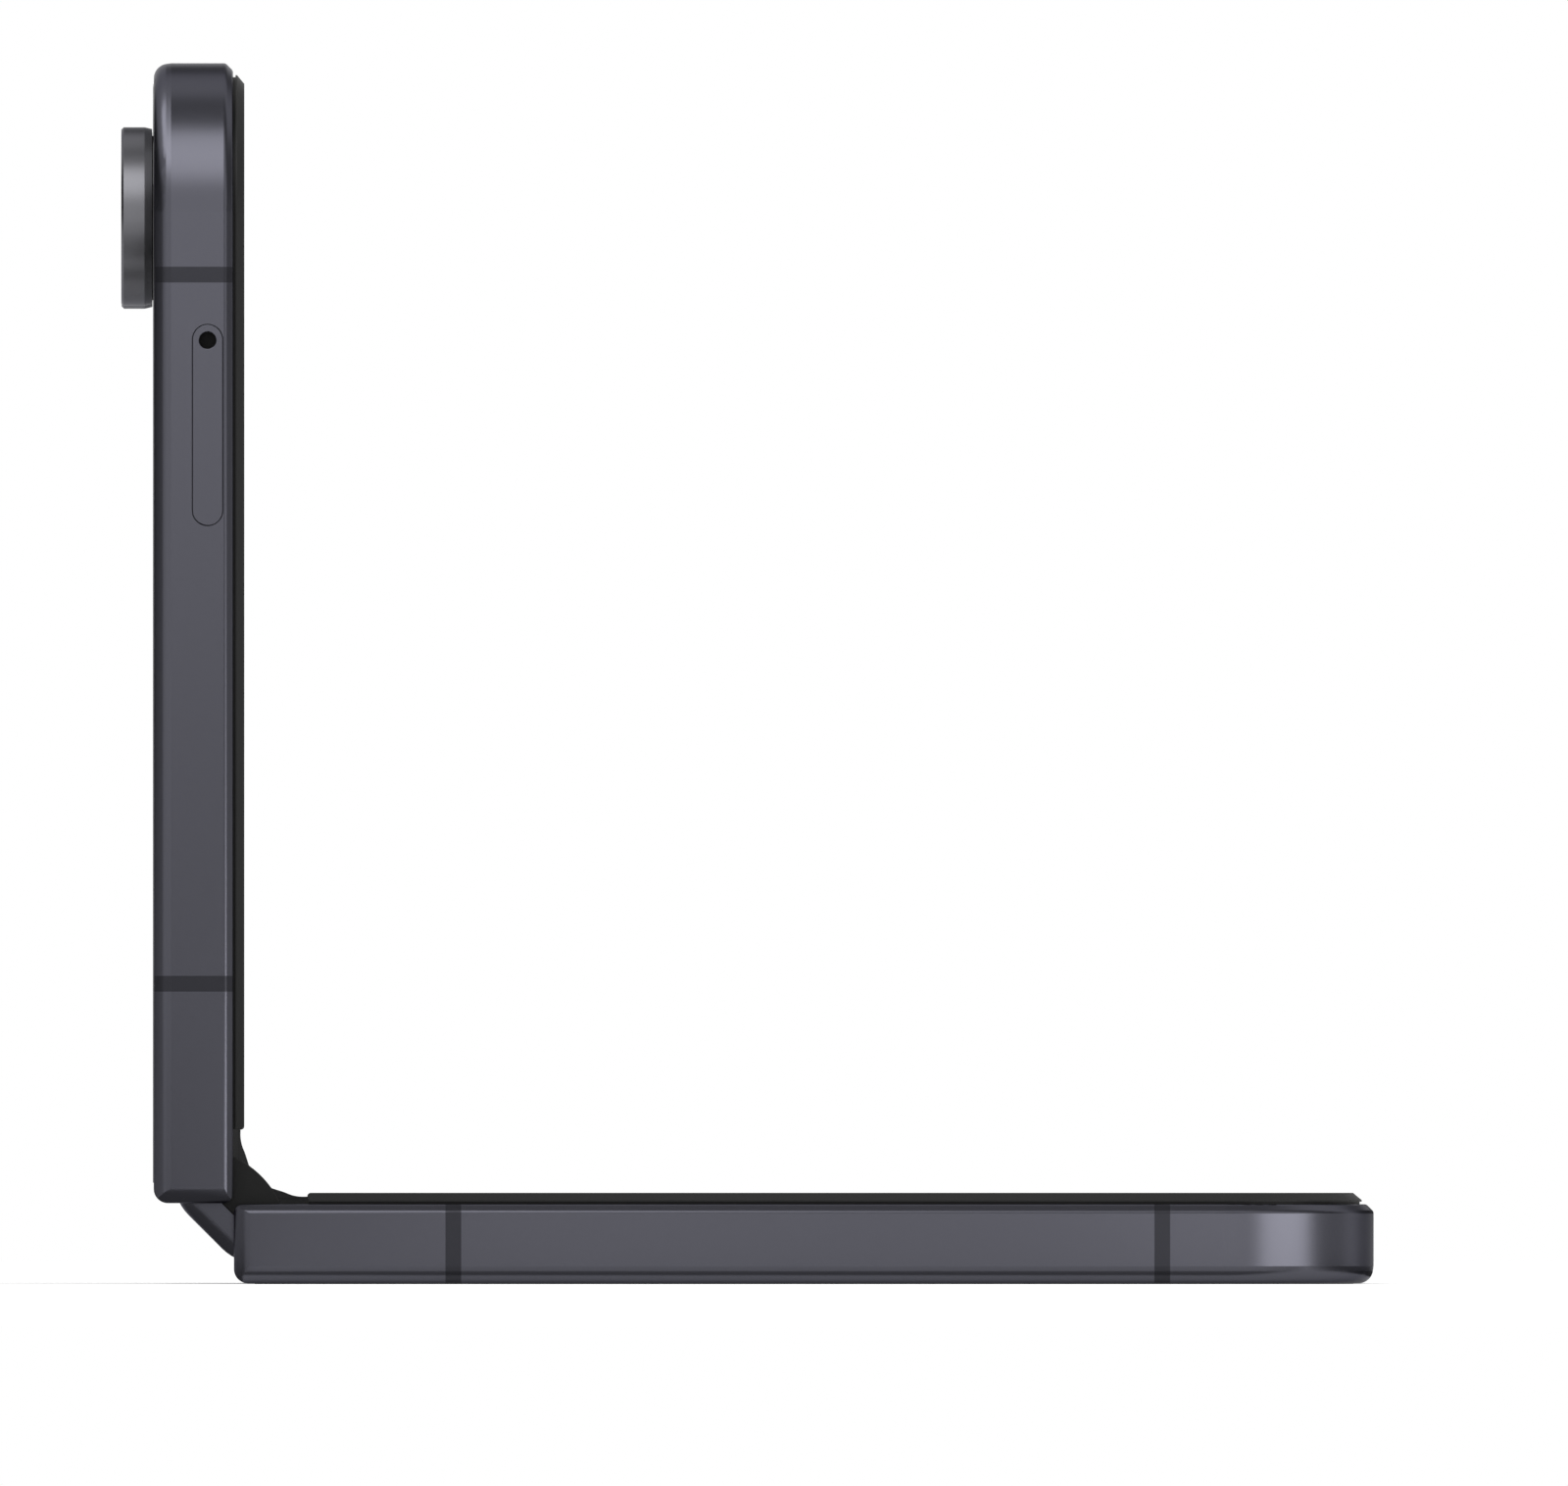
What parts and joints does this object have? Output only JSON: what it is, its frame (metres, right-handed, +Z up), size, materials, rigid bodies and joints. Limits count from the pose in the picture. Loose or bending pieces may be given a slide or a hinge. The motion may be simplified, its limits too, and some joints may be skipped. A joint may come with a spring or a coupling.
{
  "type": "foldable smartphone",
  "caption": "Foldable phone of clamshell form, open at a right angle, with a geared two-axis hinge, bending screen, raised camera rings, SIM tray and side keys.",
  "frame": {"origin": "middle of the lower half's back glass, the face the phone rests on", "axes": "+Z up out of the lower half's screen, +X from the hinge to the lower half's far end, +Y across the phone, from the SIM tray's side to the keys' side"},
  "size_m": [0.0916, 0.0756, 0.0892],
  "materials": {
    "anodised_rail": "satin",
    "antenna_insert": "matte",
    "back_glass": "satin",
    "camera_glass": "polished",
    "screen_glass": "polished",
    "rim_plastic": "matte",
    "cap_plastic": "satin",
    "ring_metal": "satin",
    "hinge_steel": "satin",
    "gear_brass": "satin",
    "battery_foil": "satin",
    "copper_coil": "satin",
    "circuit_board": "gloss",
    "module_plastic": "matte",
    "shield_steel": "satin",
    "flex_film": "gloss",
    "flash_lens": "gloss",
    "seal_rubber": "matte"
  },
  "bodies": {
    "lower_half": {"lower_frame": "anodised_rail", "lower_antenna_bands": "antenna_insert", "lower_back_glass": "back_glass", "lower_rim": "rim_plastic", "lower_screen": "screen_glass", "lower_battery": "battery_foil", "charging_coil": "copper_coil", "lower_board": "circuit_board", "usb_receptacle": "shield_steel", "loudspeaker": "module_plastic", "vibration_motor": "shield_steel", "microphone": "shield_steel", "lower_hinge_arms": "hinge_steel", "lower_hinge_screws": "hinge_steel"},
    "spine": {"spine_cover": "anodised_rail", "spine_cap_left": "cap_plastic", "spine_cap_right": "cap_plastic", "hinge_brackets": "hinge_steel", "hinge_pins": "hinge_steel", "idler_pins": "hinge_steel", "cam_springs": "hinge_steel", "folding_screen": "screen_glass", "hinge_flex": "flex_film"},
    "lower_idlers": {"lower_idler_gears": "gear_brass"},
    "upper_idlers": {"upper_idler_gears": "gear_brass"},
    "upper_half": {"upper_frame": "anodised_rail", "upper_antenna_bands": "antenna_insert", "upper_back_glass": "back_glass", "outer_display": "screen_glass", "upper_rim": "rim_plastic", "upper_screen": "screen_glass", "camera_rings": "ring_metal", "camera_seats": "seal_rubber", "camera_lenses": "camera_glass", "camera_modules": "module_plastic", "flash": "flash_lens", "main_board": "circuit_board", "board_shield": "shield_steel", "upper_battery": "battery_foil", "earpiece": "module_plastic", "front_camera": "module_plastic", "sim_reader": "shield_steel", "key_switches": "flex_film", "upper_hinge_arms": "hinge_steel", "upper_hinge_screws": "hinge_steel"},
    "tray": {"sim_tray": "anodised_rail"},
    "ejector": {"sim_ejector": "module_plastic"},
    "volume": {"volume_key": "anodised_rail"},
    "power": {"power_key": "anodised_rail"}
  },
  "joints": [
    {"name": "lower_fold", "type": "hinge", "parent": "lower_half", "child": "spine", "pos_m": [-0.03998, 0, 0.00514], "axis": [0, 1, 0], "range_deg": [-45, 45], "deforming": ["folding_screen", "hinge_flex"]},
    {"name": "upper_fold", "type": "hinge", "parent": "spine", "child": "upper_half", "pos_m": [-0.04241, 0, 0.00757], "axis": [0, 1, 0], "range_deg": [-45, 45]},
    {"name": "lower_idler_turn", "type": "hinge", "parent": "spine", "child": "lower_idlers", "pos_m": [-0.04156, 0, 0.00486], "axis": [0, 1, 0], "range_deg": [-45, 45]},
    {"name": "upper_idler_turn", "type": "hinge", "parent": "spine", "child": "upper_idlers", "pos_m": [-0.04269, 0, 0.006], "axis": [0, 1, 0], "range_deg": [-45, 45]},
    {"name": "tray_slide", "type": "slide", "parent": "upper_half", "child": "tray", "axis": [0, -1, 0], "range_m": [0, 0.015]},
    {"name": "ejector_push", "type": "slide", "parent": "upper_half", "child": "ejector", "axis": [0, 1, 0], "range_m": [0, 0.001], "stiffness_N_per_m": 500, "springref_m": -0.0002},
    {"name": "volume_press", "type": "slide", "parent": "upper_half", "child": "volume", "axis": [0, -1, 0], "range_m": [0, 0.0003], "stiffness_N_per_m": 3000, "springref_m": -0.0002},
    {"name": "power_press", "type": "slide", "parent": "upper_half", "child": "power", "axis": [0, -1, 0], "range_m": [0, 0.0003], "stiffness_N_per_m": 3000, "springref_m": -0.0002}
  ],
  "couplings": [
    {"joint": "upper_fold", "follows": "lower_fold", "ratio": 1},
    {"joint": "lower_idler_turn", "follows": "lower_fold", "ratio": 1},
    {"joint": "upper_idler_turn", "follows": "lower_fold", "ratio": -1}
  ]
}
